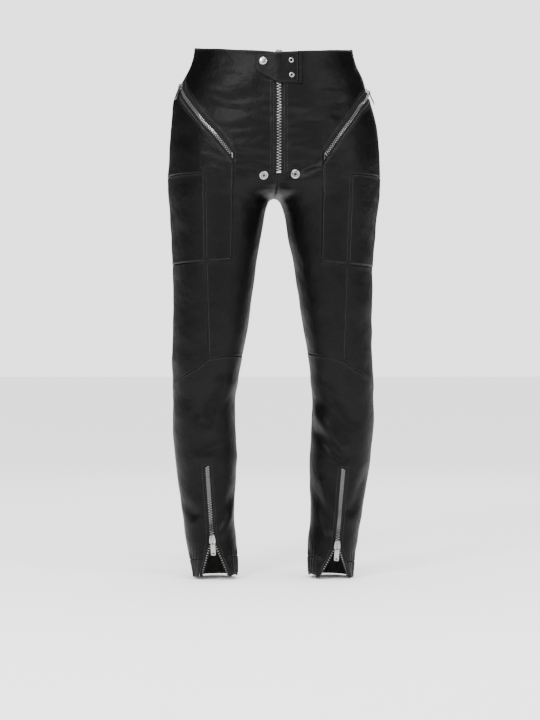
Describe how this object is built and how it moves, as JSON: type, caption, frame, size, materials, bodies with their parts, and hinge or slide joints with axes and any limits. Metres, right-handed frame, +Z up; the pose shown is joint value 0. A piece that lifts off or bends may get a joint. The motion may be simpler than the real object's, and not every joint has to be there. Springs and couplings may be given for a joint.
{
  "type": "leather trousers",
  "caption": "Slim leather trousers standing open as worn, with a zip fly under a snapped tab, slanting zip pockets, side pockets and ankle zips.",
  "frame": {"origin": "middle of the waist opening, where the wearer holds the trousers up", "axes": "+Z up, -Y to the front, +X to the wearer's left leg"},
  "size_m": [0.4247, 0.2626, 1.0617],
  "materials": {
    "leather": "soft black leather, fine grain, low sheen",
    "tape": "black woven zip tape",
    "metal": "bright nickel plate"
  },
  "bodies": {
    "trousers": {"front_panel_right": "leather", "hip_pocket_right": "leather", "side_pocket_right": "leather", "side_panel_right": "leather", "seat_panel_right": "leather", "thigh_panel_right": "leather", "shin_panel_right": "leather", "calf_panel_right": "leather", "cuff_inner_right": "leather", "cuff_outer_right": "leather", "front_panel_left": "leather", "hip_pocket_left": "leather", "side_pocket_left": "leather", "side_panel_left": "leather", "seat_panel_left": "leather", "thigh_panel_left": "leather", "shin_panel_left": "leather", "calf_panel_left": "leather", "cuff_inner_left": "leather", "cuff_outer_left": "leather", "side_zip_right_tape": "tape", "side_zip_right_chain": "metal", "side_zip_right_stop": "metal", "side_zip_left_tape": "tape", "side_zip_left_chain": "metal", "side_zip_left_stop": "metal", "main_zip_tape": "tape", "main_zip_chain": "metal", "main_zip_stop": "metal", "ankle_zip_tape_inner_right": "tape", "ankle_zip_chain_inner_right": "metal", "ankle_zip_tape_outer_right": "tape", "ankle_zip_chain_outer_right": "metal", "ankle_zip_tape_inner_left": "tape", "ankle_zip_chain_inner_left": "metal", "ankle_zip_tape_outer_left": "tape", "ankle_zip_chain_outer_left": "metal", "tab": "leather", "tab_edge": "leather", "tab_snap": "metal", "lower_snap_right": "metal", "lower_snap_left": "metal", "eyelet_1": "metal", "eyelet_2": "metal", "ankle_zip_slider_right": "metal", "side_zip_slider_right": "metal", "ankle_zip_slider_left": "metal", "side_zip_slider_left": "metal", "main_zip_slider": "metal"},
    "ankle_zip_pull_right_body": {"ankle_zip_pull_right": "metal"},
    "side_zip_pull_right_body": {"side_zip_pull_right": "metal"},
    "ankle_zip_pull_left_body": {"ankle_zip_pull_left": "metal"},
    "side_zip_pull_left_body": {"side_zip_pull_left": "metal"}
  },
  "joints": [
    {"name": "ankle_zip_pull_right_hinge", "type": "hinge", "parent": "trousers", "child": "ankle_zip_pull_right_body", "pos_m": [-0.12517, -0.05635, -0.97392], "axis": [-0.9969, -0.036, -0.07], "range_deg": [0, 120]},
    {"name": "side_zip_pull_right_hinge", "type": "hinge", "parent": "trousers", "child": "side_zip_pull_right_body", "pos_m": [-0.18915, -0.03435, -0.07849], "axis": [-0.4319, 0.8788, -0.203], "range_deg": [-2, 120]},
    {"name": "ankle_zip_pull_left_hinge", "type": "hinge", "parent": "trousers", "child": "ankle_zip_pull_left_body", "pos_m": [0.12197, -0.05638, -0.98587], "axis": [-0.9933, -0.08, 0.083], "range_deg": [0, 120]},
    {"name": "side_zip_pull_left_hinge", "type": "hinge", "parent": "trousers", "child": "side_zip_pull_left_body", "pos_m": [0.18872, -0.01123, -0.08526], "axis": [-0.254, -0.842, 0.476], "range_deg": [-8, 120]}
  ]
}
